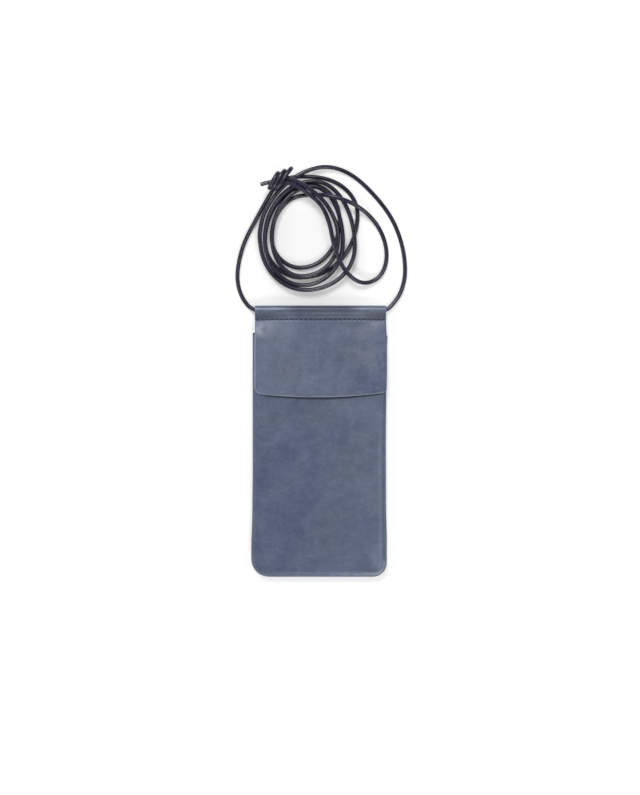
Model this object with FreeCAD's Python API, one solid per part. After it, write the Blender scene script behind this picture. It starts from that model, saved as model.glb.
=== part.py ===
import FreeCAD, Part
import math
import os

# Phone pouch of smooth leather, lying on its back: a turned pocket, a flap cut in one with the
# back panel, a stitched tunnel along the fold and a round leather cord that runs through it.
# Millimetres. X runs across the pouch, +Y from the bottom edge to the cord, +Z out of the front.
# The origin is on the lying surface, below the middle of the pouch.

# Leather pocket
LENGTH = 190.0              # bottom edge to the top of the cord tunnel
BOTTOM_WIDTH = 95.0         # across the side edges at the bottom
MOUTH_WIDTH = 93.2          # across the side edges at the mouth
CORNER_RADIUS = 11.5        # bottom corners, seen from the front
MOUTH_FROM_TOP = 21.0       # top of the tunnel down to the mouth
LEATHER = 1.3               # thickness of the hide
POCKET_DEPTH = 7.8          # clear depth at the middle, for a phone
CROWN_RADIUS = 1500.0       # gentle crown of the front across the width
FRONT_ROUND = 4.8           # rolled edge round the front
BACK_ROUND = 2.8            # rolled edge round the back

# Turned seam inside the pocket
SEAM_HEIGHT = 3.6           # height of the seam line above the lying surface
SEAM_ALLOWANCE = 4.0        # width of the leather turned inwards
SEAM_STITCH_INSET = 1.2     # seam thread from the inner wall
SEAM_STITCH_PITCH = 4.0

# Cord tunnel along the top fold
CORD_DIAMETER = 3.0
TUNNEL_CLEARANCE = 0.3      # between the cord and the tunnel all round
TUNNEL_NARROWER = 1.3       # how much narrower the hide is here than along the flap
STITCH_FROM_TOP = 9.6       # top of the tunnel down to its stitch line
STITCH_MARGIN = 1.4         # flat double layer on each side of the stitch line
TUNNEL_STITCH_PITCH = 3.4
STITCH_LENGTH = 2.5
THREAD_WIDTH = 0.7
THREAD_HEIGHT = 0.35

# Flap
FLAP_WIDTH = 93.3
FLAP_FROM_TOP = 64.8        # top of the tunnel down to the middle of the flap's edge
FLAP_SWEEP = 2.8            # how far the edge swings down between its corners
FLAP_CORNER = 4.6
FLAP_GAP = 0.3              # between the flap and what it lies on
FLAP_FOLD = 1.3             # how far past the mouth the flap bends down to the tunnel
FOLD_ROUND = 3.0            # outer radius of that bend

# Cord: where it lies on itself, and how far it stands out of the tunnel
CORD_GAP = 0.45             # least gap between turns and layers
CORD_PROUD = 0.6
ARC_SHARE = 0.45            # share of the shorter run that an arc of the cord takes up

# Left arm of the cord: two turns on the surface, a point at each quarter turn, clockwise from
# the top, from the middle of the tunnel's top edge
LEFT_COIL = [
    (-4.9, 90.3),
    (27.1, 64.0),
    (-11.9, 19.7),
    (-38.5, 45.8),
    (-4.9, 84.7),
    (14.4, 59.8),
    (-12.6, 26.6),
    (-33.2, 48.0),
    (-9.0, 77.8),
]

# Right arm of the cord: two and a half turns on top of it, anticlockwise from the left
RIGHT_COIL = [
    (-41.6, 45.8),
    (-9.1, 10.8),
    (25.2, 40.9),
    (-3.5, 87.1),
    (-37.5, 46.8),
    (-11.0, 15.0),
    (19.4, 44.0),
    (-4.4, 82.4),
    (-33.4, 47.4),
    (-12.0, 20.6),
    (14.2, 45.8),
]

# Knot that ties the two ends: long loose wraps over the two strands
KNOT_CENTRE = (-26.6, 87.1)
KNOT_REACH = 8.1            # half the length of a wrap, to the middle of the cord
KNOT_ANGLE = 50.0           # direction of the wraps, from +X
KNOT_AXIS_ANGLE = 165.0     # direction of the strands that they hold
KNOT_PITCH = 4.1
KNOT_QUARTERS = 8

# Construction
OVERSHOOT = 1.0             # how far a cutting form stands past the leather
TOLERANCE = 1e-6            # for edges and faces that lie in one plane

# Sizes that follow
BOTTOM_Y = -LENGTH / 2
TOP_Y = LENGTH / 2
MOUTH_Y = TOP_Y - MOUTH_FROM_TOP
STITCH_Y = TOP_Y - STITCH_FROM_TOP
FLAP_END_Y = TOP_Y - FLAP_FROM_TOP
FRONT_TOP = 2 * LEATHER + POCKET_DEPTH
CROWN_Z = FRONT_TOP - CROWN_RADIUS
CORD_RADIUS = CORD_DIAMETER / 2
BORE_RADIUS = CORD_RADIUS + TUNNEL_CLEARANCE
ROLL_RADIUS = BORE_RADIUS + LEATHER
TUNNEL_WIDTH = FLAP_WIDTH - TUNNEL_NARROWER
ROLL_Y = TOP_Y - ROLL_RADIUS
ROLL_Z = ROLL_RADIUS
HINGE_Y = STITCH_Y - STITCH_MARGIN
TAIL_Y = HINGE_Y + FLAP_GAP / 2
FOLD_Y = MOUTH_Y + FLAP_FOLD

# Heights of the cord: on the surface, on one strand and on two
LAYER = CORD_DIAMETER + CORD_GAP
ON_FLOOR = CORD_RADIUS
ON_ONE = ON_FLOOR + LAYER
ON_TWO = ON_ONE + LAYER
KNOT_RISE = CORD_DIAMETER + TUNNEL_CLEARANCE
IN_KNOT = ON_TWO + KNOT_RISE

# Routes of the cord where it isn't coiled, from the middle of the tunnel's top edge on the
# surface, after the point where each one starts
LEFT_ROUTE = [
    (-50.3, 0.9, 2.6),
    (-55.2, 8.0, 1.8),
    (-57.7, 18.5, ON_FLOOR),
    (-56.3, 31.8, ON_FLOOR),
    (-52.1, 45.8, ON_FLOOR),
    (-44.6, 59.8, ON_FLOOR),
    (-37.2, 73.4, ON_FLOOR),
    (-29.9, 86.1, ON_FLOOR),
    (-20.3, 90.3, ON_FLOOR),
]
RIGHT_ROUTE = [
    (51.6, 0.9, 2.6),
    (57.4, 8.5, 1.8),
    (61.0, 21.8, ON_FLOOR),
    (59.3, 40.4, ON_FLOOR),
    (52.6, 59.6, ON_FLOOR),
    (41.1, 75.6, ON_FLOOR),
    (23.8, 92.4, 2.0),
    (5.6, 98.6, 3.4),
    (-11.9, 93.6, ON_ONE),
    (-28.0, 83.4, ON_ONE),
    (-38.8, 67.2, ON_ONE),
    (-41.6, 54.0, ON_ONE),
]
END_LOOP_ROUTE = [
    (-2.5, 77.7, 3.2),
    (4.0, 77.2, 7.6),
    (12.4, 75.5, 9.9),
    (23.6, 71.4, 9.2),
    (33.5, 65.0, 5.0),
    (41.6, 56.0, 1.9),
    (46.6, 44.0, ON_FLOOR),
    (47.4, 31.0, ON_FLOOR),
    (43.0, 21.4, ON_FLOOR),
    (35.0, 16.5, 2.6),
    (27.0, 17.0, 6.6),
    (19.8, 22.4, 9.8),
    (13.4, 32.2, 9.6),
    (9.6, 45.0, 8.7),
    (6.8, 58.0, 8.7),
    (1.2, 69.8, 8.9),
    (-7.6, 76.9, 10.0),
    (-17.2, 83.6, IN_KNOT),
    (-30.0, 87.5, IN_KNOT),
    (-40.8, 84.0, 11.2),
]
RIGHT_END_ROUTE = [
    (13.8, 53.2, 5.6),
    (11.4, 61.2, 7.4),
    (6.8, 69.4, 8.8),
    (0.6, 76.4, 9.6),
    (-7.2, 82.6, 10.6),
    (-17.0, 88.6, IN_KNOT),
    (-27.0, 91.6, IN_KNOT),
]

# Directions of the cord at the quarter turns, clockwise from the top and anticlockwise from the left
RIGHTWARDS = FreeCAD.Vector(1, 0, 0)
UPWARDS = FreeCAD.Vector(0, 1, 0)
CLOCKWISE = [RIGHTWARDS, -UPWARDS, -RIGHTWARDS, UPWARDS]
ANTICLOCKWISE = [-UPWARDS, RIGHTWARDS, UPWARDS, -RIGHTWARDS]


def vector(x, y, z):
    return FreeCAD.Vector(x, y, z)


def above_tunnel(x, y, z):
    """A point given from the middle of the tunnel's top edge, on the lying surface."""
    return vector(x, TOP_Y + y, z)


def half_width(y):
    """Half the pocket's width at a place along its length, from its straight side edges."""
    share = (y - BOTTOM_Y) / (MOUTH_Y - BOTTOM_Y)
    return (BOTTOM_WIDTH + share * (MOUTH_WIDTH - BOTTOM_WIDTH)) / 2


def prism(points, height):
    """A solid from a plan outline, standing on the outline's own level."""
    wire = Part.makePolygon(points + points[:1])
    return Part.Face(wire).extrude(vector(0, 0, height))


def pocket_outline(inset, low, high, end_y):
    """The pocket in plan, moved inwards by inset, with round bottom corners, between two levels."""
    bottom = BOTTOM_Y + inset
    lower = half_width(BOTTOM_Y) - inset
    upper = half_width(end_y) - inset
    points = [
        vector(-lower, bottom, low),
        vector(lower, bottom, low),
        vector(upper, end_y, low),
        vector(-upper, end_y, low),
    ]
    block = prism(points, high - low)
    upright = [edge for edge in block.Edges if is_upright(edge)]
    corners = [edge for edge in upright if edge.CenterOfMass.y < bottom + OVERSHOOT]
    return block.makeFillet(max(CORNER_RADIUS - inset, LEATHER), corners)


def is_upright(edge):
    box = edge.BoundBox
    return box.XLength < TOLERANCE and box.YLength < TOLERANCE


def crown(grow):
    """The long cylinder whose top is the front's crown, moved outwards by grow."""
    start = vector(0, -LENGTH, CROWN_Z)
    cylinder = Part.makeCylinder(CROWN_RADIUS + grow, 2 * LENGTH, start, vector(0, 1, 0))
    cylinder.rotate(start, vector(0, 1, 0), 180)
    return cylinder


def pocket_form(inset, end_y):
    """The closed form of the pocket, moved inwards by inset and ended square at end_y."""
    block = pocket_outline(inset, inset, FRONT_TOP + OVERSHOOT, end_y).common(crown(-inset))
    block = block.removeSplitter()
    closed = [edge for edge in block.Edges if not at_end(edge, end_y)]
    rim = [edge for edge in closed if edge.BoundBox.ZMin > SEAM_HEIGHT]
    block = block.makeFillet(FRONT_ROUND - inset, rim)
    closed = [edge for edge in block.Edges if not at_end(edge, end_y)]
    foot = [edge for edge in closed if edge.BoundBox.ZMax < inset + TOLERANCE]
    return block.makeFillet(BACK_ROUND - inset, foot)


def at_end(edge, end_y):
    return edge.BoundBox.YMin > end_y - TOLERANCE


def slab(low, high):
    """Everything of the pouch between two levels."""
    size = 2 * LENGTH
    return Part.makeBox(size, size, high - low, vector(-size / 2, -size / 2, low))


def seam_lip(low):
    """The turned-in leather along the sides and the bottom, one thickness high."""
    outer = pocket_outline(LEATHER / 2, low, low + LEATHER, MOUTH_Y)
    inner = pocket_outline(LEATHER + SEAM_ALLOWANCE, low, low + LEATHER, MOUTH_Y + LEATHER)
    return outer.cut(inner)


def pocket_shell():
    """The hide all round the pocket, open at the mouth."""
    return pocket_form(0, MOUTH_Y).cut(pocket_form(LEATHER, MOUTH_Y + LEATHER))


def extrude_across(points, width):
    """A solid from an outline in the YZ plane, carried across the pouch."""
    wire = Part.makePolygon([vector(-width / 2, y, z) for y, z in points + points[:1]])
    return Part.Face(wire).extrude(vector(width, 0, 0))


def make_front_panel():
    front = pocket_shell().common(slab(SEAM_HEIGHT, FRONT_TOP + OVERSHOOT))
    return front.fuse(seam_lip(SEAM_HEIGHT)).removeSplitter()


def make_back_panel():
    """The back of the pocket, which runs on past the mouth and up to the tunnel's double layer."""
    back = pocket_shell().common(slab(-OVERSHOOT, SEAM_HEIGHT))
    back = back.fuse(seam_lip(SEAM_HEIGHT - LEATHER))
    under = ROLL_Z - LEATHER
    tongue = extrude_across([
        (MOUTH_Y - LEATHER, 0),
        (MOUTH_Y + LEATHER, 0),
        (TAIL_Y, under - FLAP_GAP),
        (TAIL_Y, under + LEATHER - FLAP_GAP),
        (MOUTH_Y + LEATHER, LEATHER),
        (MOUTH_Y - LEATHER, LEATHER),
    ], TUNNEL_WIDTH)
    return back.fuse(tongue).removeSplitter()


def drop_outline(radius, tip_y, tip_half):
    """A drop in the YZ plane: round at the cord, with straight flanks to a tip of some thickness."""
    across = math.hypot(tip_y - ROLL_Y, tip_half)
    turn = math.pi - math.atan2(tip_half, ROLL_Y - tip_y) - math.acos(radius / across)
    touch_y = ROLL_Y + radius * math.cos(turn)
    touch_z = radius * math.sin(turn)
    x = -TUNNEL_WIDTH / 2
    above = vector(x, touch_y, ROLL_Z + touch_z)
    below = vector(x, touch_y, ROLL_Z - touch_z)
    far = vector(x, ROLL_Y + radius, ROLL_Z)
    tip_above = vector(x, tip_y, ROLL_Z + tip_half)
    tip_below = vector(x, tip_y, ROLL_Z - tip_half)
    edges = [
        Part.LineSegment(tip_above, above).toShape(),
        Part.Arc(above, far, below).toShape(),
        Part.LineSegment(below, tip_below).toShape(),
    ]
    if tip_half > 0:
        edges.append(Part.LineSegment(tip_below, tip_above).toShape())
    return Part.Face(Part.Wire(edges)).extrude(vector(TUNNEL_WIDTH, 0, 0))


def make_cord_tunnel():
    """The fold round the cord, closed by a double layer that the stitches hold together."""
    flat_end = STITCH_Y + STITCH_MARGIN
    double_layer = extrude_across([
        (TAIL_Y, ROLL_Z - LEATHER),
        (flat_end, ROLL_Z - LEATHER),
        (flat_end, ROLL_Z + LEATHER),
        (TAIL_Y, ROLL_Z + LEATHER),
    ], TUNNEL_WIDTH)
    roll = drop_outline(ROLL_RADIUS, flat_end, LEATHER)
    bore = drop_outline(BORE_RADIUS, flat_end, 0)
    return roll.fuse(double_layer).removeSplitter().cut(bore)


def band(y, low, half, arched):
    """A cross-section of the flap: a strip of leather, straight or on the crown."""
    high = low + LEATHER
    corners = [
        vector(-half, y, low),
        vector(half, y, low),
        vector(half, y, high),
        vector(-half, y, high),
    ]
    if not arched:
        return Part.makePolygon(corners + corners[:1])

    def crown_point(x, grow):
        return vector(x, y, CROWN_Z + math.sqrt((CROWN_RADIUS + grow) ** 2 - x * x))

    under = [crown_point(x, FLAP_GAP) for x in (-half, 0, half)]
    over = [crown_point(x, FLAP_GAP + LEATHER) for x in (half, 0, -half)]
    return Part.Wire([
        Part.Arc(*under).toShape(),
        Part.LineSegment(under[2], over[0]).toShape(),
        Part.Arc(*over).toShape(),
        Part.LineSegment(over[2], under[0]).toShape(),
    ])


def flap_plan():
    """The flap in plan, from its bend to its curved lower edge."""
    half = FLAP_WIDTH / 2
    side_y = FLAP_END_Y + FLAP_SWEEP
    corners = [
        vector(-half, side_y, 0),
        vector(half, side_y, 0),
        vector(half, FOLD_Y, 0),
        vector(-half, FOLD_Y, 0),
    ]
    edges = [
        Part.Arc(corners[0], vector(0, FLAP_END_Y, 0), corners[1]).toShape(),
        Part.LineSegment(corners[1], corners[2]).toShape(),
        Part.LineSegment(corners[2], corners[3]).toShape(),
        Part.LineSegment(corners[3], corners[0]).toShape(),
    ]
    block = Part.Face(Part.Wire(edges)).extrude(vector(0, 0, 2 * FRONT_TOP))
    lower = [edge for edge in block.Edges if is_upright(edge) and edge.CenterOfMass.y < side_y + LEATHER]
    return block.makeFillet(FLAP_CORNER, lower)


def make_flap():
    """The flap: a slope from the stitch line over the mouth, then a sheet along the crowned front."""
    sheet = crown(FLAP_GAP + LEATHER).cut(crown(FLAP_GAP)).common(flap_plan())
    root = band(HINGE_Y - FLAP_GAP / 2, ROLL_Z, TUNNEL_WIDTH / 2, False)
    bend = band(FOLD_Y, 0, FLAP_WIDTH / 2, True)
    slope = Part.makeLoft([root, bend], True, True)
    flap = sheet.fuse(slope).removeSplitter()
    fold = [edge for edge in flap.Edges if on_fold(edge)]
    fold.sort(key=lambda edge: edge.CenterOfMass.z)
    flap = flap.makeFillet(FOLD_ROUND, fold[-1:])
    fold = [edge for edge in flap.Edges if on_fold(edge)]
    return flap.makeFillet(FOLD_ROUND - LEATHER, fold[:1])


def on_fold(edge):
    box = edge.BoundBox
    return box.YLength < TOLERANCE and abs(box.YMin - FOLD_Y) < TOLERANCE and box.XLength > FLAP_WIDTH / 2


def thread_bar(start, end, low):
    """One stitch: a flat bar of thread between two points in plan."""
    length = (end - start).Length
    bar = Part.makeBox(length, THREAD_WIDTH, THREAD_HEIGHT, vector(0, -THREAD_WIDTH / 2, low))
    bar.rotate(vector(0, 0, 0), vector(0, 0, 1), math.degrees(math.atan2(end.y - start.y, end.x - start.x)))
    bar.translate(vector(start.x, start.y, 0))
    return bar


def make_tunnel_stitches():
    """The row that closes the tunnel, seen on the front and on the back of the double layer."""
    count = int((TUNNEL_WIDTH - STITCH_LENGTH) / TUNNEL_STITCH_PITCH) + 1
    first = -(count - 1) * TUNNEL_STITCH_PITCH / 2
    bars = []
    for i in range(count):
        x = first + i * TUNNEL_STITCH_PITCH
        start = vector(x - STITCH_LENGTH / 2, STITCH_Y, 0)
        end = vector(x + STITCH_LENGTH / 2, STITCH_Y, 0)
        bars.append(thread_bar(start, end, ROLL_Z + LEATHER))
        bars.append(thread_bar(start, end, ROLL_Z - LEATHER - THREAD_HEIGHT))
    return Part.makeCompound(bars)


def make_seam_stitches():
    """The thread of the turned seam: a row on each side of the two turned-in lips."""
    inset = LEATHER + SEAM_STITCH_INSET
    end_y = MOUTH_Y - SEAM_STITCH_PITCH
    outline = pocket_outline(inset, 0, LEATHER, end_y)
    floor = [face for face in outline.Faces if face.BoundBox.ZMax < TOLERANCE][0]
    run = [edge for edge in floor.OuterWire.OrderedEdges if not at_end(edge, end_y)]
    line = Part.Wire(Part.__sortEdges__(run))
    count = int(line.Length / SEAM_STITCH_PITCH)
    spots = line.discretize(Number=count + 1)
    bars = []
    for here, there in zip(spots, spots[1:]):
        step = there - here
        end = here + step * (STITCH_LENGTH / step.Length)
        bars.append(thread_bar(here, end, SEAM_HEIGHT + LEATHER))
        bars.append(thread_bar(here, end, SEAM_HEIGHT - LEATHER - THREAD_HEIGHT))
    return Part.makeCompound(bars)


def make_cord_in_tunnel():
    length = TUNNEL_WIDTH + 2 * CORD_PROUD
    return Part.makeCylinder(CORD_RADIUS, length, vector(-length / 2, ROLL_Y, ROLL_Z), vector(1, 0, 0))


def tube(name, path):
    """A round cord along a path of lines and arcs, with its volume set against its length."""
    edge = path.OrderedEdges[0]
    tangent = edge.tangentAt(edge.FirstParameter)
    start = edge.valueAt(edge.FirstParameter)
    sweep = Part.BRepOffsetAPI.MakePipeShell(path)
    sweep.add(Part.Wire(Part.makeCircle(CORD_RADIUS, start, tangent)))
    sweep.build()
    sweep.makeSolid()
    solid = sweep.shape()
    share = solid.Volume / (math.pi * CORD_RADIUS ** 2 * path.Length)
    print(name, "length", round(path.Length, 1), "volume over section times length", round(share, 4))
    return solid


def routed_path(name, points):
    """Straight runs joined by tangent arcs, each as large as its two runs allow."""
    edges = []
    radii = []
    here = points[0]
    for before, corner, after in zip(points, points[1:], points[2:]):
        back = (before - corner).normalize()
        ahead = (after - corner).normalize()
        reach = ARC_SHARE * min((before - corner).Length, (after - corner).Length)
        half_turn = (math.pi - back.getAngle(ahead)) / 2
        radius = reach / math.tan(half_turn)
        middle = (back + ahead).normalize() * (radius / math.cos(half_turn) - radius)
        enter = corner + back * reach
        leave = corner + ahead * reach
        edges.append(Part.LineSegment(here, enter).toShape())
        edges.append(Part.Arc(enter, corner + middle, leave).toShape())
        radii.append(round(radius, 1))
        here = leave
    edges.append(Part.LineSegment(here, points[-1]).toShape())
    print(name, "radii", radii)
    return Part.Wire(edges)


def biarc(start, start_way, end, end_way):
    """Two arcs that leave one point and reach another in given directions."""
    gap = end - start
    both = start_way + end_way
    spread = 2 * (1 - start_way.dot(end_way))
    reach = (math.sqrt(gap.dot(both) ** 2 + spread * gap.dot(gap)) - gap.dot(both)) / spread
    first_corner = start + start_way * reach
    second_corner = end - end_way * reach
    joint = (first_corner + second_corner) * 0.5
    return [tangent_arc(start, first_corner, joint), tangent_arc(joint, second_corner, end)]


def tangent_arc(start, corner, end):
    """The arc from start to end whose tangents meet at corner, as far from the one as the other."""
    chord_middle = (start + end) * 0.5
    half_chord = (end - start).Length / 2
    height = (corner - chord_middle).Length
    reach = (corner - start).Length
    sag = half_chord * (reach - half_chord) / height
    return Part.Arc(start, chord_middle + (corner - chord_middle) * (sag / height), end).toShape()


def smooth_path(points, ways):
    edges = []
    for i in range(len(points) - 1):
        edges += biarc(points[i], ways[i], points[i + 1], ways[i + 1])
    return Part.Wire(edges)


def coil_points(places, turning, z):
    """A coil's points a quarter turn apart, and the cord's direction at each of them."""
    points = [above_tunnel(x, y, z) for x, y in places]
    ways = [turning[i % len(turning)] for i in range(len(places))]
    return points, ways


def knot_points():
    """Points of the wraps a quarter turn apart, and their directions."""
    along = vector(math.cos(math.radians(KNOT_ANGLE)), math.sin(math.radians(KNOT_ANGLE)), 0)
    axis = vector(math.cos(math.radians(KNOT_AXIS_ANGLE)), math.sin(math.radians(KNOT_AXIS_ANGLE)), 0)
    up = vector(0, 0, 1)
    centre = above_tunnel(KNOT_CENTRE[0], KNOT_CENTRE[1], IN_KNOT)
    points = []
    ways = []
    for i in range(KNOT_QUARTERS + 1):
        angle = math.pi / 2 * (i - 1)
        advance = KNOT_PITCH * (i - KNOT_QUARTERS / 2) / 4
        points.append(centre + along * (KNOT_REACH * math.cos(angle)) + up * (KNOT_RISE * math.sin(angle))
                      + axis * advance)
        way = (along * (-KNOT_REACH * math.sin(angle)) + up * (KNOT_RISE * math.cos(angle))
               + axis * (KNOT_PITCH / (2 * math.pi)))
        ways.append(way.normalize())
    return points, ways


def laid(route):
    return [above_tunnel(*point) for point in route]


def print_least_gap(name, path):
    """Prints how near a wound cord comes to itself, on points along its middle."""
    spots = path.discretize(Distance=1.0)
    skip = int(2 * math.pi * CORD_DIAMETER)
    least = min((a - b).Length for i, a in enumerate(spots) for b in spots[i + skip:])
    print(name, "least gap to itself", round(least - CORD_DIAMETER, 2))


def make_cord():
    """The whole free cord, piece by piece, from both ends of the tunnel to the knot."""
    exit_x = TUNNEL_WIDTH / 2 + CORD_PROUD
    left_points, left_ways = coil_points(LEFT_COIL, CLOCKWISE, ON_FLOOR)
    right_points, right_ways = coil_points(RIGHT_COIL, ANTICLOCKWISE, ON_ONE)
    routes = {
        "cord_left_stretch": [vector(-exit_x, ROLL_Y, ROLL_Z)] + laid(LEFT_ROUTE) + left_points[:1],
        "cord_end_loop": left_points[-1:] + laid(END_LOOP_ROUTE),
        "cord_right_stretch": [vector(exit_x, ROLL_Y, ROLL_Z)] + laid(RIGHT_ROUTE) + right_points[:1],
        "cord_right_end": right_points[-1:] + laid(RIGHT_END_ROUTE),
    }
    wound = {
        "cord_left_coil": smooth_path(left_points, left_ways),
        "cord_right_coil": smooth_path(right_points, right_ways),
        "cord_knot": smooth_path(*knot_points()),
    }
    solids = {}
    for name, points in routes.items():
        solids[name] = tube(name, routed_path(name, points))
    for name, path in wound.items():
        print_least_gap(name, path)
        solids[name] = tube(name, path)
    return solids


def main():
    nodes = {
        "back_panel": make_back_panel(),
        "front_panel": make_front_panel(),
        "cord_tunnel": make_cord_tunnel(),
        "flap": make_flap(),
        "tunnel_stitches": make_tunnel_stitches(),
        "seam_stitches": make_seam_stitches(),
        "cord_in_tunnel": make_cord_in_tunnel(),
    }
    nodes.update(make_cord())
    os.makedirs("parts", exist_ok=True)
    for name, shape in nodes.items():
        if not shape.isValid():
            raise RuntimeError(name + " is not a valid solid")
        shape.exportStep("parts/" + name + ".step")
        box = shape.optimalBoundingBox()
        print(name, len(shape.Solids), "solids", round(shape.Volume, 1), "mm3",
              [round(v, 2) for v in (box.XMin, box.YMin, box.ZMin, box.XMax, box.YMax, box.ZMax)])


main()
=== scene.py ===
import math

import bmesh
import bpy
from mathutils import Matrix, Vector, noise


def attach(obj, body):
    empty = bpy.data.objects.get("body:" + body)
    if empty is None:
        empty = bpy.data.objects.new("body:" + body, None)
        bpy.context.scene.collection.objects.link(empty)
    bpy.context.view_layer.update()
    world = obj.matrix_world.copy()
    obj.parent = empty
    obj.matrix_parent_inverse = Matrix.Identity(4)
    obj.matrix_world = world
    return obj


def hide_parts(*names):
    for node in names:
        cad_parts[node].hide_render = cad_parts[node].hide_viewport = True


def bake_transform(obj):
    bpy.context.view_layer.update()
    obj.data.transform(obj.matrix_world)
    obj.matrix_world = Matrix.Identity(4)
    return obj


# Looks of the phone pouch in the part's own frame. The pouch's sizes are in millimetres.
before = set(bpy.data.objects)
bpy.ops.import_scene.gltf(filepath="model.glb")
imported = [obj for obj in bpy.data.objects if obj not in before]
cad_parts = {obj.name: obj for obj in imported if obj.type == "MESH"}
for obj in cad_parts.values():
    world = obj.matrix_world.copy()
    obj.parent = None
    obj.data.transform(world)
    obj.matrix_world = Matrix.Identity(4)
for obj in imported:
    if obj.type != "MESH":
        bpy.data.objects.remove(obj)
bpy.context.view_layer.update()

MM = 0.001
LEATHER = 1.3
SHARP_DEGREES = 55

# Pocket: its ends, the heights of its skins and the rounding of its rolled edges
POUCH_WIDTH = 95.0
BOTTOM_Y = -95.0
MOUTH_Y = 74.0
MOUTH_SKEW = 4.2
SEAM_Z = 3.6
SEAM_INSET = 2.6
BACK_TOP_Z = SEAM_Z - 1.0
FRONT_START_Z = SEAM_Z + 1.2
FRONT_Z = 10.3
FRONT_ROUND = 4.8
BACK_ROUND = 2.8
ROLL_FROM = -24
CROWN_RADIUS = 1500.0
SLACK_HALF = 47.0
RIDGE_HEIGHT = 0.12
RIDGE_INSET = 6.2
RIDGE_WIDTH = 1.9
CORNER_LEFT = 12.6
CORNER_RIGHT = 9.8
LEAST_CORNER = 0.01

# Rings of the pocket's skins: points on a side, a corner and the bottom, and how far in they go
RING_SIDE = 80
RING_CORNER = 12
RING_BOTTOM = 44
RING_POINTS = 2 * (RING_SIDE + RING_CORNER) + RING_BOTTOM + 1
EVEN_INSET = 6.0
LAST_INSET = 47.1
CORNER_END = 47.2

# Tunnel, its stitches and the flap
STITCH_Y = 85.3
STITCH_PITCH = 3.4
STITCHES = 27
STITCH_SLANT = 5
TUNNEL_SHIFT = 1.1
TUNNEL_HALF = 46.0
TUNNEL_TOP_Y = 95.0
TUNNEL_RIDGES = (88.8, 86.4)
FLAP_START_Y = 84.4
FLAP_START_Z = 4.62
FLAP_EDGE_Y = 34
FLAP_LOW_X = -1.0
FLAP_LOW_Y = 30.95
FLAP_MIDDLE = 1.0
FLAP_HALF = 46.5
FLAP_LIFT = 0.25
FLAP_ROWS = 78
EDGE_ROWS = 2
# How near black the flap's cut edge is: a painted shadow under its lower edge.
EDGE_SHADOW = 0.97
CREASE_Y = 59.5

# Cord: its thickness and its middle inside the tunnel
CORD = 3.0
ROLL_Y = 91.9
ROLL_Z = 3.1

# Edges of the pocket and of the flap: how far out they are at places along the length
POCKET_LEFT = [(-95, -47.5), (-74, -47.5), (-50, -46.8), (-20, -46.5), (40, -46.5), (78, -46.4)]
POCKET_RIGHT = [(-95, 47.5), (-70, 47.5), (-40, 47.0), (0, 46.9), (40, 47.2), (62, 47.5), (78, 48.2)]
FLAP_LEFT = [(28, -45.3), (60, -45.3), (78, -45.0), (96, -44.9)]
FLAP_RIGHT = [(28, 47.2), (50, 47.6), (70, 47.6), (84, 47.0), (96, 47.1)]


def smooth(t):
    t = min(max(t, 0.0), 1.0)
    return t * t * (3 - 2 * t)


def along(line, place):
    """The value at a place on a list of (place, value), eased from one to the next."""
    if place <= line[0][0]:
        return line[0][1]
    for (a, low), (b, high) in zip(line, line[1:]):
        if place <= b:
            return low + (high - low) * smooth((place - a) / (b - a))
    return line[-1][1]


def ripple(x, y, size, seed):
    """A soft random height between about -1 and 1."""
    return noise.noise(Vector((x / size, y / size, seed)))


def bell(offset, width):
    """1 at no offset, falling away softly on both sides."""
    return math.exp(-(offset / width) ** 2)


# Materials

HIDE_ROUGHNESS = 0.42
PORE_SCALE = 420
PORE_TONE = (0.02, 0.022, 0.035, 1)
# The near black that painted shade and painted shadow mix in.
PAINTED_SHADE_TONE = (0.012, 0.013, 0.022, 1)
TWIST_TONE = (0.05, 0.055, 0.08, 1)


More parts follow.
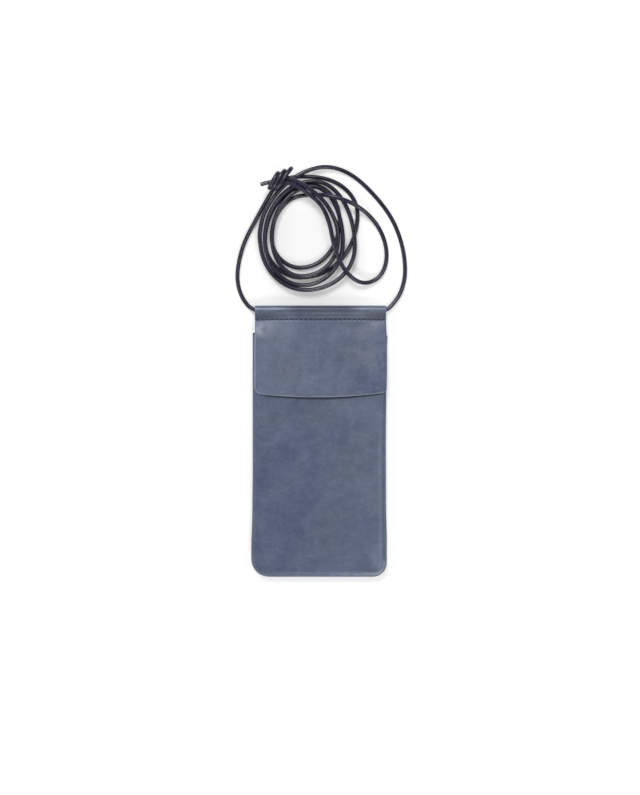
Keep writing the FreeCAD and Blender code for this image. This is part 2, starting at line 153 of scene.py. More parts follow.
class Shader:
    """Short names for the nodes that the materials are made of."""

    def __init__(self, name):
        self.material = bpy.data.materials.new(name)
        self.material.use_nodes = True
        self.tree = self.material.node_tree
        self.surface = self.tree.nodes["Principled BSDF"]

    def node(self, kind, **settings):
        made = self.tree.nodes.new("ShaderNode" + kind)
        for name, value in settings.items():
            setattr(made, name, value)
        return made

    def put(self, socket, value):
        """Links a socket, or sets a constant on it."""
        if isinstance(value, bpy.types.NodeSocket):
            self.tree.links.new(value, socket)
        else:
            socket.default_value = value

    def attribute(self, name, output):
        return self.node("Attribute", attribute_name=name).outputs[output]

    def stretched(self, place, scale):
        made = self.node("Mapping")
        self.put(made.inputs["Vector"], place)
        made.inputs["Scale"].default_value = scale
        return made.outputs["Vector"]

    def noise(self, place, scale, detail=3.0, distortion=0.0):
        made = self.node("TexNoise")
        self.put(made.inputs["Vector"], place)
        made.inputs["Scale"].default_value = scale
        made.inputs["Detail"].default_value = detail
        made.inputs["Distortion"].default_value = distortion
        return made.outputs["Fac"]

    def cells(self, place, scale):
        made = self.node("TexVoronoi")
        self.put(made.inputs["Vector"], place)
        made.inputs["Scale"].default_value = scale
        return made.outputs

    def between(self, value, low, high, to_low=0.0, to_high=1.0):
        made = self.node("MapRange")
        self.put(made.inputs["Value"], value)
        made.inputs["From Min"].default_value = low
        made.inputs["From Max"].default_value = high
        made.inputs["To Min"].default_value = to_low
        made.inputs["To Max"].default_value = to_high
        return made.outputs["Result"]

    def combine(self, operation, a, b):
        made = self.node("Math", operation=operation)
        self.put(made.inputs[0], a)
        self.put(made.inputs[1], b)
        return made.outputs[0]

    def mix(self, share, a, b, blend_type="MIX"):
        made = self.node("Mix", data_type="RGBA", blend_type=blend_type)
        self.put(made.inputs[0], share)
        self.put(made.inputs[6], a)
        self.put(made.inputs[7], b)
        return made.outputs[2]

    def bump(self, height, distance, strength, normal=None):
        made = self.node("Bump")
        self.put(made.inputs["Height"], height)
        made.inputs["Distance"].default_value = distance
        made.inputs["Strength"].default_value = strength
        if normal is not None:
            self.put(made.inputs["Normal"], normal)
        return made.outputs["Normal"]

    def finish(self, colour, roughness, normal):
        self.put(self.surface.inputs["Base Color"], colour)
        self.put(self.surface.inputs["Roughness"], roughness)
        self.put(self.surface.inputs["Normal"], normal)
        return self.material


def colour(red, green, blue):
    """A display colour, 0 to 255, as the linear colour that a shader takes."""
    def linear(value):
        value /= 255
        return value / 12.92 if value <= 0.04045 else ((value + 0.055) / 1.055) ** 2.4
    return (linear(red), linear(green), linear(blue), 1.0)


def leather(name, deep, pale, grey, edge):
    """Smooth hide with clouds of tone, streaks, scuffs, pores and fine grain, with light places of wear
    and painted highlight and dark places of painted shade.
    """
    s = Shader(name)
    place = s.attribute("rest", "Vector")
    clouds = s.noise(place, 34, 5, 0.5)
    patches = s.noise(place, 150, 5, 0.8)
    flecks = s.noise(s.stretched(place, (420, 620, 500)), 1, 4, 0.6)
    streaks = s.noise(s.stretched(place, (90, 520, 90)), 1, 3)
    tone = s.mix(s.between(clouds, 0.36, 0.66), deep, pale)
    tone = s.mix(s.between(s.noise(place, 52, 3), 0.45, 0.7, 0, 0.7), tone, grey)
    for share, pattern, high, dim, bright in (
        (1.0, patches, 0.7, (0.87, 0.87, 0.89, 1), (1.11, 1.11, 1.09, 1)),
        (1.0, flecks, 0.7, (0.9, 0.9, 0.91, 1), (1.09, 1.09, 1.08, 1)),
        (0.45, streaks, 0.72, (0.9, 0.9, 0.92, 1), (1.1, 1.1, 1.08, 1)),
    ):
        tint = s.mix(s.between(pattern, 0.3, high), dim, bright)
        tone = s.mix(share, tone, tint, "MULTIPLY")
    scuffs = s.noise(s.stretched(place, (190, 520, 190)), 1, 3, 2.2)
    tone = s.mix(s.between(scuffs, 0.66, 0.74, 0, 0.22), tone, edge)
    pores = s.cells(place, PORE_SCALE)
    few = s.between(pores["Color"], 0.55, 0.7)
    dots = s.combine("MULTIPLY", s.between(pores["Distance"], 0.16, 0.08), few)
    tone = s.mix(s.combine("MULTIPLY", dots, 0.45), tone, PORE_TONE)
    # Lighter towards the edge colour where the mesh says: some wear, mostly painted highlights.
    tone = s.mix(s.attribute("wear_and_highlight", "Fac"), tone, edge)
    # Darker where the mesh says: mostly painted shade and painted shadow.
    tone = s.mix(s.attribute("dark", "Fac"), tone, PAINTED_SHADE_TONE)
    folds = s.noise(place, 150, 3)
    grain = s.noise(place, 1500, 3)
    normal = s.bump(folds, 0.0006, 0.28)
    normal = s.bump(grain, 0.00008, 0.5, normal)
    roughness = s.between(patches, 0.3, 0.7, HIDE_ROUGHNESS - 0.06, HIDE_ROUGHNESS + 0.08)
    return s.finish(tone, roughness, normal)


def cord_leather(name, deep, pale):
    """Round dyed cord: nearly black blue with a dull shine and places lighter from rubbing."""
    s = Shader(name)
    place = s.node("TexCoord").outputs["Object"]
    tone = s.mix(s.between(s.noise(place, 120, 3), 0.35, 0.7), deep, pale)
    rub_and_glint = s.noise(place, 900, 2)
    tone = s.mix(s.between(rub_and_glint, 0.62, 0.75, 0, 0.4), tone, pale)
    normal = s.bump(s.noise(place, 1400, 2), 0.00008, 0.5)
    s.put(s.surface.inputs["Specular IOR Level"], 0.7)
    return s.finish(tone, s.between(rub_and_glint, 0.3, 0.7, 0.22, 0.36), normal)


def thread(name, tone):
    """Twisted thread."""
    s = Shader(name)
    place = s.node("TexCoord").outputs["Object"]
    twist = s.noise(s.stretched(place, (2600, 900, 900)), 1, 1)
    return s.finish(s.mix(twist, tone, TWIST_TONE), 0.7, s.bump(twist, 0.0001, 0.6))


HIDE = leather(
    "hide",
    deep=colour(79, 90, 118),
    pale=colour(91, 102, 128),
    grey=colour(88, 99, 117),
    edge=colour(172, 180, 201),
)
FLAP_HIDE = leather(
    "flap_hide",
    deep=colour(83, 94, 122),
    pale=colour(99, 109, 135),
    grey=colour(94, 103, 122),
    edge=colour(184, 192, 211),
)
CORD_SKIN = cord_leather("cord", deep=colour(22, 21, 40), pale=colour(44, 42, 67))
THREAD = thread("thread", colour(45, 48, 68))


# Meshes


def mesh_object(name, points, faces, material, wear_and_highlight=None, dark=None):
    """A mesh in the scene, with how light (wear and painted highlight) and how dark (painted shade) the
    leather is at each point.
    """
    mesh = bpy.data.meshes.new(name)
    mesh.from_pydata([(x * MM, y * MM, z * MM) for x, y, z in points], [], faces)
    for attribute, values in (("wear_and_highlight", wear_and_highlight), ("dark", dark)):
        if values:
            mesh.attributes.new(attribute, "FLOAT", "POINT").data.foreach_set("value", values)
    mesh.materials.append(material)
    made = bpy.data.objects.new(name, mesh)
    bpy.context.scene.collection.objects.link(made)
    return made


def thicken(piece):
    """Gives a skin the thickness of the leather, inwards, with a clean cut edge."""
    modifier = piece.modifiers.new("thickness", "SOLIDIFY")
    modifier.thickness = LEATHER * MM
    modifier.offset = -1
    graph = bpy.context.evaluated_depsgraph_get()
    mesh = bpy.data.meshes.new_from_object(piece.evaluated_get(graph))
    piece.modifiers.clear()
    piece.data = mesh
    mesh.polygons.foreach_set("use_smooth", [True] * len(mesh.polygons))
    mesh.set_sharp_from_angle(angle=math.radians(SHARP_DEGREES))
    places = [value for vertex in mesh.vertices for value in vertex.co]
    mesh.attributes.new("rest", "FLOAT_VECTOR", "POINT").data.foreach_set("vector", places)


def join_middle(piece):
    """Joins the two sides of a pocket's skin where their last points meet."""
    skin = bmesh.new()
    skin.from_mesh(piece.data)
    bmesh.ops.remove_doubles(skin, verts=skin.verts, dist=0.03 * MM)
    skin.to_mesh(piece.data)
    skin.free()


def grid_faces(count, columns, flip=False):
    """Faces between a number of points that lie in rows."""
    faces = []
    for i in range(count // columns - 1):
        for j in range(columns - 1):
            a = i * columns + j
            face = (a, a + 1, a + columns + 1, a + columns)
            faces.append(face[::-1] if flip else face)
    return faces


# Pocket


def crown_z(x, y):
    """Height of the front's skin: crowned across, slack in the middle and lower towards the mouth."""
    slack = (1 - min(abs(x) / SLACK_HALF, 1.0) ** 2) ** 1.5
    crown = x * x / (2 * CROWN_RADIUS)
    hollow = 0.9 * slack * smooth((y - BOTTOM_Y) / 40)
    empty = (2.2 + 3.4 * slack) * smooth((y + 40) / 114)
    right_end = 1.6 * smooth((x - 8) / 36) * smooth((y - 50) / 24)
    uneven = 0.22 * ripple(x, y, 26, 1.7) + 0.1 * ripple(x, y, 9, 4.1)
    return FRONT_Z - crown - hollow - empty - right_end + uneven


def pressed(x, y):
    """How far the flap presses the front down, at its sides and along the left half of the mouth."""
    sides = 0.6 * smooth((abs(x) - 37) / 5) * smooth((y - 44) / 14)
    depth = 0.55 + 0.35 * smooth((-38 - x) / 5)
    lip = depth * smooth((y - 71.5) / 3.2) * (1 - smooth((x + 12) / 12))
    return sides + lip


def ring(inset, skew):
    """The pocket's outline moved inwards: down the left side, along the bottom and up the right side.

    Near the edge it keeps its distance. Further in, both sides spread evenly to the middle line.
    The mouth may run askew: skew is how much lower it is at its right end than at its left."""
    def inwards(y):
        if inset < EVEN_INSET:
            return inset
        half = (along(POCKET_RIGHT, y) - along(POCKET_LEFT, y)) / 2
        return EVEN_INSET + (inset - EVEN_INSET) * (half - EVEN_INSET) / (LAST_INSET - EVEN_INSET)

    def left(y):
        return along(POCKET_LEFT, y) + inwards(y)

    def right(y):
        return along(POCKET_RIGHT, y) - inwards(y)

    def radius(full):
        if inset < EVEN_INSET:
            return full - inset
        return (full - EVEN_INSET) * (CORNER_END - inset) / (CORNER_END - EVEN_INSET)

    low = BOTTOM_Y + inset
    r_left = max(radius(CORNER_LEFT), LEAST_CORNER)
    r_right = max(radius(CORNER_RIGHT), LEAST_CORNER)
    top_left = MOUTH_Y - skew * left(MOUTH_Y) / POUCH_WIDTH
    top_right = MOUTH_Y - skew * right(MOUTH_Y) / POUCH_WIDTH
    points = []
    for i in range(RING_SIDE):
        y = top_left + (low + r_left - top_left) * i / RING_SIDE
        points.append((left(y), y))
    for i in range(RING_CORNER):
        turn = math.pi / 2 * i / RING_CORNER
        x = left(low + r_left) + r_left * (1 - math.cos(turn))
        points.append((x, low + r_left * (1 - math.sin(turn))))
    start = left(low) + r_left
    end = right(low) - r_right
    for i in range(RING_BOTTOM):
        points.append((start + (end - start) * i / RING_BOTTOM, low))
    for i in range(RING_CORNER):
        turn = math.pi / 2 * (1 - i / RING_CORNER)
        x = right(low + r_right) - r_right * (1 - math.cos(turn))
        points.append((x, low + r_right * (1 - math.sin(turn))))
    for i in range(RING_SIDE + 1):
        y = low + r_right + (top_right - low - r_right) * i / RING_SIDE
        points.append((right(y), y))
    return points


def roll_turns(count):
    """Angles round a rolled edge, from a little past its outermost line to the flat."""
    return [math.radians(ROLL_FROM + (90 - ROLL_FROM) * k / count) for k in range(count + 1)]


def inner_insets(first, count, power):
    """How far in the rings inside a rolled edge lie, closer together near the edge."""
    return [first + (LAST_INSET - first) * (i / count) ** power for i in range(1, count + 1)]


def front_wear_and_highlight(x, y, inset):
    """How light the front is, as painted highlights: on the bottom's roll, inside the right edge and at
    the right corner.

    Apart from that it is a little paler on the right, most of all below the flap's right end."""
    glint_strength = 0.08 + 0.36 * smooth((x + 10) / 50) + 0.2 * smooth((x - 28) / 10)
    roll = glint_strength * bell(inset - 1.85, 0.8) * smooth((-80 - y) / 8)
    side = 0.09 * bell(x - along(POCKET_RIGHT, y) + 4.6, 1.5) * smooth((40 - y) / 40)
    corner = 0.26 * bell(x - 42.8, 2.0) * bell(y + 82, 12)
    tip = 0.16 * bell(x - 40, 5) * bell(y + 82, 9)
    rub_and_glint = max(roll, side, corner, tip) * (1 + 0.8 * ripple(x, y, 4, 3.3))
    pale = 0.03 * smooth((x + 10) / 50) + 0.06 * bell(x - 40, 13) * bell(y - 17, 11)
    return max(rub_and_glint, pale)


def roll_painted_shade(x, inset):
    """Painted shade on the outermost strip of the front's roll, more so from the middle to the right.
    """
    return (0.2 + 0.25 * smooth((x + 30) / 40)) * (1 - smooth(inset / 1.3))


def front_dark(x, y):
    """How dark the front is inside its roll: a little darker low on the right, and a painted shadow by
    the flap except on the right.
    """
    low_right = 0.08 * bell(x - 25, 15) * bell(y + 76, 17)
    flap_shadow = 0.05 * smooth((y - 12) / 12) * smooth((24 - x) / 10)
    return low_right + flap_shadow


def make_front():
    points = []
    wear_and_highlight = []
    dark = []
    for turn in roll_turns(14):
        inset = FRONT_ROUND * (1 - math.cos(turn))
        for x, y in ring(inset, MOUTH_SKEW):
            rise = crown_z(x, y) - pressed(x, y) - FRONT_START_Z
            points.append((x, y, FRONT_START_Z + rise * math.sin(turn)))
            wear_and_highlight.append(front_wear_and_highlight(x, y, inset))
            dark.append(roll_painted_shade(x, inset))
    ridge_start = bell(FRONT_ROUND - RIDGE_INSET, RIDGE_WIDTH)
    for inset in inner_insets(FRONT_ROUND, 34, 1.25):
        ridge = RIDGE_HEIGHT * (bell(inset - RIDGE_INSET, RIDGE_WIDTH) - ridge_start)
        ridge *= smooth((inset - FRONT_ROUND) / 1.2)
        for x, y in ring(inset, MOUTH_SKEW):
            points.append((x, y, crown_z(x, y) - pressed(x, y) + ridge))
            wear_and_highlight.append(front_wear_and_highlight(x, y, inset))
            dark.append(front_dark(x, y))
    faces = grid_faces(len(points), RING_POINTS)
    piece = mesh_object("pouch_front", points, faces, HIDE, wear_and_highlight, dark)
    join_middle(piece)
    thicken(piece)
    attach(piece, "pouch")
    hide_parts("front_panel")


def make_back():
    points = []
    for turn in roll_turns(9):
        inset = BACK_ROUND * (1 - math.cos(turn))
        for x, y in ring(inset, 0.0):
            points.append((x, y, BACK_TOP_Z * (1 - math.sin(turn))))
    for inset in inner_insets(BACK_ROUND, 24, 1.2):
        lift = 0.12 * smooth((inset - BACK_ROUND) / 8)
        for x, y in ring(inset, 0.0):
            points.append((x, y, lift * (1 + ripple(x, y, 24, 8.3))))
    faces = grid_faces(len(points), RING_POINTS, True)
    piece = mesh_object("pouch_back", points, faces, HIDE)
    join_middle(piece)
    thicken(piece)
    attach(piece, "pouch")
    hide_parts("back_panel")


# Tunnel and flap, the end of the back's hide. Profiles are lists of (y, z).

TUNNEL_TOP = [
    (95.0, 3.1), (94.85, 4.1), (94.3, 5.05), (93.4, 5.75), (92.3, 6.15), (91.2, 6.2),
    (90.0, 5.95), (88.9, 5.5), (87.8, 5.05), (86.9, 4.75), (86.2, 4.6), (85.3, 4.55),
    (84.4, 4.65),
]
TUNNEL_UNDER = [
    (73.2, 0.02), (76.0, 0.12), (79.0, 0.5), (82.0, 0.9), (84.2, 1.2), (85.3, 1.34),
    (86.6, 1.25), (88.0, 0.95), (89.4, 0.45), (90.7, 0.12), (91.9, 0.02), (93.2, 0.35),
    (94.2, 1.1), (94.8, 2.1), (95.0, 3.1),
]


def divided(profile, steps):
    """Places along a profile with each stretch cut into steps, without the last place."""
    places = []
    for (y0, z0), (y1, z1) in zip(profile, profile[1:]):
        for i in range(steps):
            places.append((y0 + (y1 - y0) * i / steps, z0 + (z1 - z0) * i / steps))
    return places


def columns_across():
    """Places across the hide from -1 to 1, close together at both edges."""
    near = [0.0, 0.0025, 0.006, 0.011, 0.018, 0.027, 0.038, 0.05, 0.064, 0.08]
    first = 0.092
    count = 150
    inner = [first + (2 - 2 * first) * i / count for i in range(count + 1)]
    return [v - 1 for v in near + inner + [2 - v for v in reversed(near)]]


def hide_x(u, y):
    """Where a place across the hide lies, at a place along it."""
    left = along(FLAP_LEFT, y)
    right = along(FLAP_RIGHT, y)
    return (left + right) / 2 + u * (right - left) / 2


def flap_end(x):
    """Where the flap's lower edge runs: a long sweep, with a round corner at each end."""
    left = along(FLAP_LEFT, FLAP_EDGE_Y)
    right = along(FLAP_RIGHT, FLAP_EDGE_Y)
    sweep = 2.5 if x < 0 else 2.9
    end = FLAP_LOW_Y + sweep * ((x - FLAP_LOW_X) / FLAP_HALF) ** 2
    for inside, radius in ((x - left, 4.8), (right - x, 2.6)):
        if inside < radius:
            end += radius - math.sqrt(max(radius ** 2 - (radius - inside) ** 2, 0.0))
    return end


def stitch_wave(x):
    """1 at each stitch and 0 between two."""
    return 0.5 + 0.5 * math.cos(2 * math.pi * (x - TUNNEL_SHIFT) / STITCH_PITCH)


def groove(x, y):
    """The dip that the stitches pull into the leather, deepest at each stitch."""
    wave = stitch_wave(x)
    dip = 0.6 * bell(y - STITCH_Y, 0.75) * (0.6 + 0.4 * wave)
    pinch = 0.16 * bell(y - STITCH_Y + 1.3, 0.6) * wave
    return pinch - dip


def seam_shade(y):
    """How much darker the leather is where the stitches pull it in."""
    return 0.42 * bell(y - STITCH_Y, 0.7)


def pucker_highlight(x, y):
    """How strong the painted highlight is on the small puckers below the stitches, away from the
    middle.
    """
    ends = smooth((abs(x - FLAP_MIDDLE) - 8) / 14) * smooth((x + 44) / 8)
    return 0.42 * ends * stitch_wave(x) * bell(y - STITCH_Y + 0.9, 0.5)


def bow(x, y):
    """How far the tunnel stands off the surface, most in its middle."""
    across = min(abs(x - TUNNEL_SHIFT) / TUNNEL_HALF, 1.0)
    return 1.7 * (1 - across ** 2) ** 1.2 * smooth((y - 84.5) / 7.5)


def tunnel_z(x, y, z):
    """Height of the tunnel's skin: its profile with waves, two ridges, the groove and the bow."""
    wave = 0.16 * ripple(x, y * 11, 38, 2.9) * smooth((TUNNEL_TOP_Y - y) / 1.5)
    for ridge in TUNNEL_RIDGES:
        wave += 0.2 * bell(y - ridge, 0.55) * (0.7 + ripple(x, ridge, 21, 5.2))
    return z + wave + groove(x, y) + bow(x, y)


def tunnel_wear_and_highlight(x, y, u):
    """How light the tunnel is: painted highlights on its crest towards both ends and on the puckers,
    and lighter cut edges.
    """
    rub_and_glint = 0.8 * smooth((abs(u) - 0.35) / 0.4) * (0.75 + 0.7 * ripple(x, 3, 9, 7.7))
    cut = 0.25 * smooth((abs(u) - 0.985) / 0.012)
    return max(rub_and_glint * bell(y - 92.9, 0.75), cut, pucker_highlight(x, y))


def tunnel_painted_shade(x, y, u):
    """How dark the tunnel is, as painted shade: on top in its middle, on its lower slope, a little at
    its right end and at the stitches.
    """
    top = 0.38 * smooth((y - 88.6) / 1.6) * (1 - smooth((abs(u) - 0.35) / 0.4))
    below = (0.17 + 0.3 * smooth((abs(u) - 0.45) / 0.4)) * smooth((91.8 - y) / 3.4)
    below += 0.1 * bell(y - 87.6, 0.9)
    below += 0.1 * smooth((x - 24) / 12) * smooth((92 - y) / 1.5)
    return max(top, below, seam_shade(y) - pucker_highlight(x, y))


def slope_z(x, y):
    """Height of the flap's hide: up from the stitch line, over the mouth and along the front."""
    lying = crown_z(x, min(y, MOUTH_Y)) + LEATHER + FLAP_LIFT
    lying -= (0.9 if x < 0 else 0.5) * smooth((abs(x - FLAP_MIDDLE) - 38) / 9)
    ends = smooth((abs(x - FLAP_MIDDLE) - 24) / 20)
    t = min(max((FLAP_START_Y - y) / (15.0 - 2.0 * ends), 0.0), 1.0)
    power = 1.7 if x < 0 else 2.6
    rise = smooth(t) * (1 - ends) + (1 - (1 - t) ** power) * ends
    return (FLAP_START_Z + bow(x, FLAP_START_Y)) * (1 - rise) + lying * rise


def flap_z(x, y, to_edge):
    """Height of the flap's skin, lifted towards its lower edge and turned down at its rim."""
    lift = (0.6 + 0.9 * bell(x - 2, 26)) * smooth((72 - y) / 42)
    wave = 0.1 * ripple(x, y, 24, 6.4) * smooth((76 - y) / 10)
    roll = 0.5 * (1 - smooth(to_edge / 0.9))
    return slope_z(x, y) + groove(x, y) + lift + wave - roll


def flap_wear_and_highlight(x, y, to_edge):
    """How light the flap is: a lighter rim, partly wear and partly painted highlight, most at the left
    corner; painted highlights by both upper corners and on the puckers; paler hide on the left and in
    the middle; and a light line along a crease.
    """
    glare = 0.3 * bell(x + 40, 7) * bell(y - 79.5, 5)
    glare += 0.1 * bell(x - 43, 5) * bell(y - 83, 2.2)
    glare *= 0.8 + 0.9 * ripple(x, y, 4, 9.1)
    # Paler hide in two broad places: towards the left and in the middle.
    glare += 0.05 * smooth((4 - x) / 36)
    glare += 0.05 * bell(x + 3, 14) * bell(y - 67, 6)
    bent = x + 0.7 + 1.0 * (1 - ((y - CREASE_Y) / 7.5) ** 2)
    crease = 0.11 * bell(bent, 0.45) * smooth((8 - abs(y - CREASE_Y)) / 3)
    corner = bell(x + 43, 4)
    rim = (0.32 + 0.36 * corner) * (1 - smooth(to_edge / (0.8 + 0.6 * corner)))
    return max(rim, glare + pucker_highlight(x, y), crease)


def flap_painted_shade(x, y):
    """How dark the flap is, as painted shade: at the stitches and on the slope below their right end.
    """
    slope_shade = 0.17 * bell(x - 38, 9) * bell(y - 79.5, 3.5)
    return max(seam_shade(y) - pucker_highlight(x, y), slope_shade)


def make_flap():
    """The front of the tunnel and the flap in one, with the flap's cut edge as the last rows, near
    black as a painted shadow under the flap's lower edge.
    """
    across = columns_across()
    points = []
    wear_and_highlight = []
    dark = []
    for y, z in divided(TUNNEL_TOP, 3):
        for u in across:
            x = hide_x(u, y)
            points.append((x, y, tunnel_z(x, y, z)))
            wear_and_highlight.append(tunnel_wear_and_highlight(x, y, u))
            dark.append(tunnel_painted_shade(x, y, u))
    for i in range(FLAP_ROWS + 1):
        share = (i / FLAP_ROWS) ** 1.05
        share += 0.012 * math.sin(2 * math.pi * share)
        for u in across:
            end = flap_end(hide_x(u, FLAP_EDGE_Y))
            y = FLAP_START_Y + (end - FLAP_START_Y) * share
            x = hide_x(u, y)
            to_edge = min(y - end, (1 - abs(u)) * FLAP_HALF)
            points.append((x, y, flap_z(x, y, to_edge)))
            wear_and_highlight.append(flap_wear_and_highlight(x, y, to_edge))
            dark.append(flap_painted_shade(x, y))
    # The cut edge's rows: near black, a painted shadow under the flap's lower edge.
    for _ in range(EDGE_ROWS):
        for x, y, z in points[-len(across):]:
            share = 1 - 0.85 * smooth((abs(x - FLAP_MIDDLE) - 36) / 8)
            reach = 0.4 + 0.12 * (1 - smooth((abs(x - FLAP_MIDDLE) - 14) / 12))
            points.append((x, y - reach * share, z - 0.5 * share))
            wear_and_highlight.append(0.0)
            dark.append(EDGE_SHADOW)
    faces = grid_faces(len(points), len(across), True)
    piece = mesh_object("flap_and_tunnel", points, faces, FLAP_HIDE, wear_and_highlight, dark)
    thicken(piece)
    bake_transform(piece)
    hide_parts("flap", "cord_tunnel")


def make_tunnel_under():
    """The hide from the mouth up behind the tunnel, to where it turns over the cord."""
    across = columns_across()
    points = []
    for y, z in divided(TUNNEL_UNDER, 2) + TUNNEL_UNDER[-1:]:
        for u in across:
            x = hide_x(u, y)
            points.append((x, y, z + bow(x, y)))
    faces = grid_faces(len(points), len(across), True)
    piece = mesh_object("tunnel_back", points, faces, HIDE)
    thicken(piece)
    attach(piece, "pouch")
    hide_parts("cord_tunnel")


# Stitching


def stitch(points, faces, centre, way, length, width, height):
    """One flattened round bar of thread, added to a mesh that is being made."""
    first = len(points)
    side = (-way[1], way[0])
    sections = 7
    around = 8
    for i in range(sections):
        t = -1 + 2 * i / (sections - 1)
        fat = math.sqrt(max(1 - t ** 4, 0.02))
        for j in range(around):
            turn = 2 * math.pi * j / around
            out = width / 2 * fat * math.cos(turn)
            up = height * fat * math.sin(turn) - 0.1 * height * t ** 4
            points.append((
                centre[0] + way[0] * t * length / 2 + side[0] * out,
                centre[1] + way[1] * t * length / 2 + side[1] * out,
                centre[2] + up,
            ))
    for i in range(sections - 1):
        for j in range(around):
            a = first + i * around + j
            b = first + i * around + (j + 1) % around
            faces.append((a, b, b + around, a + around))
    faces.append(tuple(range(first, first + around)))
    faces.append(tuple(range(first + (sections - 1) * around, first + sections * around)))


def make_tunnel_stitches():
    """The stitches across the tunnel, a row in front and a row behind."""
    points = []
    faces = []
    slant = math.radians(STITCH_SLANT)
    way = (math.cos(slant), math.sin(slant))
    for i in range(STITCHES):
        x = TUNNEL_SHIFT + (i - (STITCHES - 1) / 2) * STITCH_PITCH
        lift = bow(x, STITCH_Y)
        for z, height in ((4.15, 0.32), (1.28, 0.22)):
            centre = (x, STITCH_Y, z + lift)
            stitch(points, faces, centre, way, length=2.5, width=0.75, height=height)
    piece = mesh_object("tunnel_stitching", points, faces, THREAD)
    piece.data.polygons.foreach_set("use_smooth", [True] * len(piece.data.polygons))
    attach(piece, "pouch")
    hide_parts("tunnel_stitches")


def make_seam_stitches():
    """The thread of the turned seam, inside along the sides and the bottom."""
    points = []
    faces = []
    line = ring(SEAM_INSET, MOUTH_SKEW)
    for (x0, y0), (x1, y1) in list(zip(line, line[1:]))[4:-4:2]:
        step = math.hypot(x1 - x0, y1 - y0)
        way = ((x1 - x0) / step, (y1 - y0) / step)
        stitch(points, faces, (x0, y0, SEAM_Z + 0.2), way, length=2.5, width=0.7, height=0.3)
    piece = mesh_object("seam_thread", points, faces, THREAD)
    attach(piece, "pouch")
    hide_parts("seam_stitches")


# Cord. Heights of its middle: on the floor, on the coil's first layer and in the knot.

FLOOR = 1.5
SECOND = 4.95
IN_KNOT = 11.7
LEFT_START = [
    (-44.5, 91.9, 3.1), (-47.2, 92.9, 3.0), (-50.8, 96.0, 2.5), (-55.2, 103.0, 1.7),
    (-57.7, 113.5, FLOOR), (-56.3, 126.8, FLOOR), (-52.1, 140.8, FLOOR), (-44.6, 154.8, FLOOR),
    (-37.2, 168.4, FLOOR), (-29.9, 180.6, FLOOR), (-20.3, 185.6, FLOOR),
]
LEFT_COIL = [
    (-4.9, 185.3), (27.1, 159.0), (-11.9, 114.7), (-38.0, 140.8), (-4.9, 179.7), (14.4, 154.8),
    (-12.6, 121.6), (-33.2, 143.0), (-9.0, 172.8),
]
LEFT_END = [
    (-9.0, 172.8, FLOOR), (-2.5, 172.7, 3.2), (4.0, 172.2, 7.6), (12.4, 170.5, 9.9),
    (23.6, 166.4, 9.2), (33.5, 160.0, 5.0), (41.6, 151.0, 1.9), (46.9, 139.0, FLOOR),
    (47.8, 126.0, FLOOR), (43.6, 115.6, FLOOR), (35.0, 110.6, 2.6), (27.0, 111.4, 6.6),
    (19.8, 117.0, 9.8), (13.4, 127.2, 9.6), (9.6, 140.0, 8.7), (7.2, 153.4, 8.7),
    (1.8, 165.4, 8.9), (-7.0, 172.6, 10.0), (-16.7, 179.2, IN_KNOT), (-30.0, 182.5, 11.8),
    (-40.8, 179.0, 11.7),
]
RIGHT_START = [
    (46.7, 91.9, 3.1), (48.7, 92.9, 3.0), (51.8, 96.0, 2.5), (57.4, 103.5, 1.8),
    (61.0, 116.8, FLOOR), (59.3, 135.4, FLOOR), (52.6, 154.6, FLOOR), (41.1, 170.6, FLOOR),
    (23.8, 187.4, 2.0), (5.6, 193.6, 3.4), (-11.9, 188.6, SECOND), (-27.0, 177.6, SECOND),
    (-38.2, 161.6, SECOND), (-41.4, 149.0, SECOND),
]
RIGHT_COIL = [
    (-41.2, 140.8), (-9.1, 105.8), (25.2, 135.9), (-3.5, 182.1), (-38.0, 141.8), (-11.0, 109.1),
    (16.8, 139.0), (-4.4, 178.4), (-33.0, 142.4), (-12.0, 115.5), (13.4, 140.8),
]
RIGHT_END = [
    (13.4, 140.8, SECOND), (13.2, 148.2, 5.6), (10.8, 155.7, 7.4), (6.4, 164.0, 9.0),
    (0.3, 171.1, 9.9), (-7.7, 177.1, 10.7), (-17.3, 182.6, IN_KNOT), (-25.0, 184.8, IN_KNOT),
]
KNOT = [
    (-25.0, 182.0, 8.2), (-28.6, 178.2, 8.7), (-30.4, 175.2, 11.6), (-28.6, 177.4, 14.5),
    (-25.4, 182.0, 15.4), (-22.2, 186.4, 15.2), (-18.7, 191.0, 12.6), (-20.9, 189.0, 8.9),
    (-26.6, 183.8, 8.1), (-31.2, 178.4, 8.6), (-32.8, 175.4, 11.8), (-31.0, 178.2, 14.6),
    (-28.0, 183.2, 15.4), (-25.8, 186.4, 15.1), (-23.5, 189.2, 12.4), (-25.3, 187.5, 8.9),
    (-30.0, 183.8, 8.1), (-33.6, 179.2, 8.7), (-35.0, 175.9, 11.8), (-33.5, 178.6, 14.5),
    (-31.3, 182.8, 15.1), (-29.2, 186.0, 14.2), (-28.3, 187.4, 12.0), (-29.4, 186.0, 9.2),
    (-31.0, 184.2, 8.3),
]
TUNNEL_CORD_X = (-44.0, -34.0, -20.0, 1.0, 22.0, 36.0, 46.0)


def coil(places, across_first, z):
    """Points of a coil from one quarter turn to the next, sixteen a turn."""
    points = []
    for i, (a, b) in enumerate(zip(places, places[1:])):
        across = (i % 2 == 0) == across_first
        centre = (a[0], b[1]) if across else (b[0], a[1])
        for k in range(4):
            turn = math.pi / 2 * k / 4
            share = (math.cos(turn), math.sin(turn))
            x = centre[0] + 1.018 * ((a[0] - centre[0]) * share[0] + (b[0] - centre[0]) * share[1])
            y = centre[1] + 1.018 * ((a[1] - centre[1]) * share[0] + (b[1] - centre[1]) * share[1])
            points.append((x, y, z))
    return points


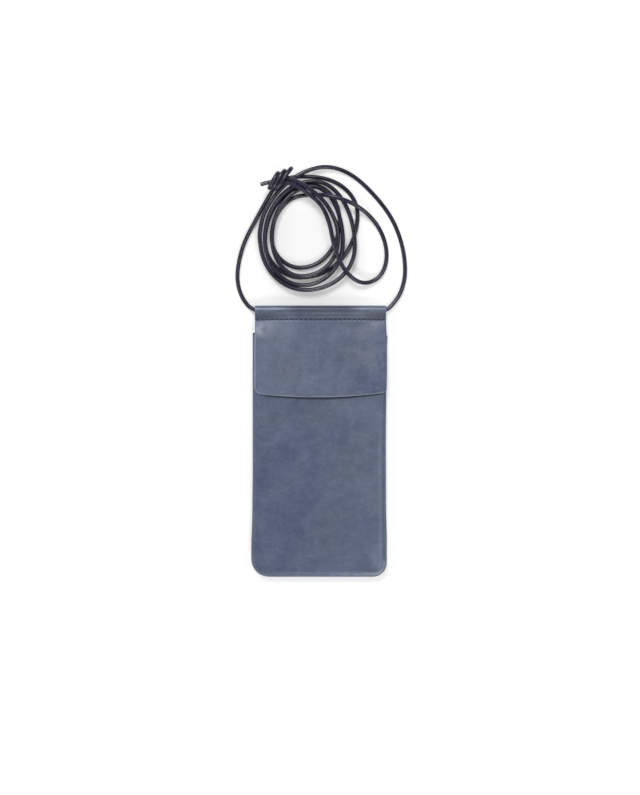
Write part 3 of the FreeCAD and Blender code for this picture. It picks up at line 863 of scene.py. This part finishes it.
def cord_curve(name, points):
    curve = bpy.data.curves.new(name, "CURVE")
    curve.dimensions = "3D"
    curve.bevel_depth = CORD / 2 * MM
    curve.bevel_resolution = 5
    curve.use_fill_caps = True
    curve.resolution_u = 6
    spline = curve.splines.new("NURBS")
    spline.points.add(len(points) - 1)
    for point, (x, y, z) in zip(spline.points, points):
        point.co = (x * MM, y * MM, z * MM, 1)
    spline.order_u = 3
    spline.use_endpoint_u = True
    curve.materials.append(CORD_SKIN)
    made = bpy.data.objects.new(name, curve)
    bpy.context.scene.collection.objects.link(made)
    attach(made, "pouch")
    return made


def make_cords():
    left = cord_curve("cord_left", LEFT_START + coil(LEFT_COIL, True, FLOOR) + LEFT_END)
    right = cord_curve("cord_right", RIGHT_START + coil(RIGHT_COIL, False, SECOND) + RIGHT_END)
    knot = cord_curve("cord_knot_wraps", KNOT)
    line = [(x, ROLL_Y, ROLL_Z + bow(x, ROLL_Y)) for x in TUNNEL_CORD_X]
    inside = cord_curve("cord_through_tunnel", line)
    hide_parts("cord_left_stretch", "cord_left_coil", "cord_end_loop")
    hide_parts("cord_right_stretch", "cord_right_coil", "cord_right_end")
    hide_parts("cord_knot")
    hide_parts("cord_in_tunnel")


# Floor, light and camera

FLOOR_HALF = 40
FLOOR_TONE = (0.86, 0.86, 0.86, 1)
FLOOR_ROUGHNESS = 0.9
COIL_SHADOW_MIDDLE = (-0.006, 0.128, 0)
WORLD_STRENGTH = 0.23


def make_floor():
    """A pale floor, whiter far away, where the lamps are weak, with a painted shadow under the coil:
    less glow there, so greyer.
    """
    corners = [(-1, -1), (1, -1), (1, 1), (-1, 1)]
    mesh = bpy.data.meshes.new("floor")
    mesh.from_pydata([(x * FLOOR_HALF, y * FLOOR_HALF, 0) for x, y in corners], [], [(0, 1, 2, 3)])
    s = Shader("floor")
    s.put(s.surface.inputs["Base Color"], FLOOR_TONE)
    s.put(s.surface.inputs["Roughness"], FLOOR_ROUGHNESS)
    distance = s.node("VectorMath", operation="DISTANCE")
    s.put(distance.inputs[0], s.node("TexCoord").outputs["Object"])
    s.put(distance.inputs[1], COIL_SHADOW_MIDDLE)
    away = distance.outputs["Value"]
    # Less glow near the coil's middle: a painted shadow under the coil.
    near = s.between(away, 0.03, 0.06, 0.18, 0.38)
    far = s.between(away, 0.4, 1.6, 0.0, 0.57)
    glow = s.node("Emission")
    s.put(glow.inputs["Strength"], s.combine("ADD", near, far))
    both = s.node("AddShader")
    s.put(both.inputs[0], s.surface.outputs[0])
    s.put(both.inputs[1], glow.outputs[0])
    path = s.node("LightPath").outputs
    seen = s.node("MixShader")
    s.put(seen.inputs[0], s.combine("MAXIMUM", path["Is Camera Ray"], path["Is Glossy Ray"]))
    s.put(seen.inputs[1], s.surface.outputs[0])
    s.put(seen.inputs[2], both.outputs[0])
    s.put(s.tree.nodes["Material Output"].inputs["Surface"], seen.outputs[0])
    mesh.materials.append(s.material)
    floor = bpy.data.objects.new("floor", mesh)
    bpy.context.scene.collection.objects.link(floor)


def area_light(name, place, aim, size, power):
    light = bpy.data.lights.new(name, "AREA")
    light.size = size
    light.energy = power
    made = bpy.data.objects.new(name, light)
    made.location = place
    made.rotation_euler = (Vector(aim) - Vector(place)).to_track_quat("-Z", "Y").to_euler()
    bpy.context.scene.collection.objects.link(made)


def make_light():
    world = bpy.data.worlds.new("studio")
    world.use_nodes = True
    background = world.node_tree.nodes["Background"]
    background.inputs["Color"].default_value = (1, 1, 1, 1)
    background.inputs["Strength"].default_value = WORLD_STRENGTH
    bpy.context.scene.world = world
    area_light("key", (-0.42, 1.23, 1.72), (0, 0.03, 0), size=0.68, power=20.5)
    area_light("low", (0.3, -1.2, 0.95), (0, 0, 0), size=0.5, power=8)
    area_light("left", (-1.25, 0.0, 0.6), (0, 0, 0), size=0.5, power=2)
    area_light("right", (0.8, -0.2, 1.6), (0, 0, 0), size=0.5, power=4)
    bpy.context.scene.view_settings.view_transform = "Standard"


def make_camera():
    """Straight above, with the picture's middle a little above the pouch's own."""
    camera = bpy.data.cameras.new("camera")
    camera.lens = 97.0
    camera.sensor_width = 36.0
    made = bpy.data.objects.new("camera", camera)
    made.location = (0.0007, 0.0306, 1.505)
    bpy.context.scene.collection.objects.link(made)
    bpy.context.scene.camera = made


make_front()
make_back()
make_flap()
make_tunnel_under()
make_tunnel_stitches()
make_seam_stitches()
make_cords()
make_floor()
make_light()
make_camera()
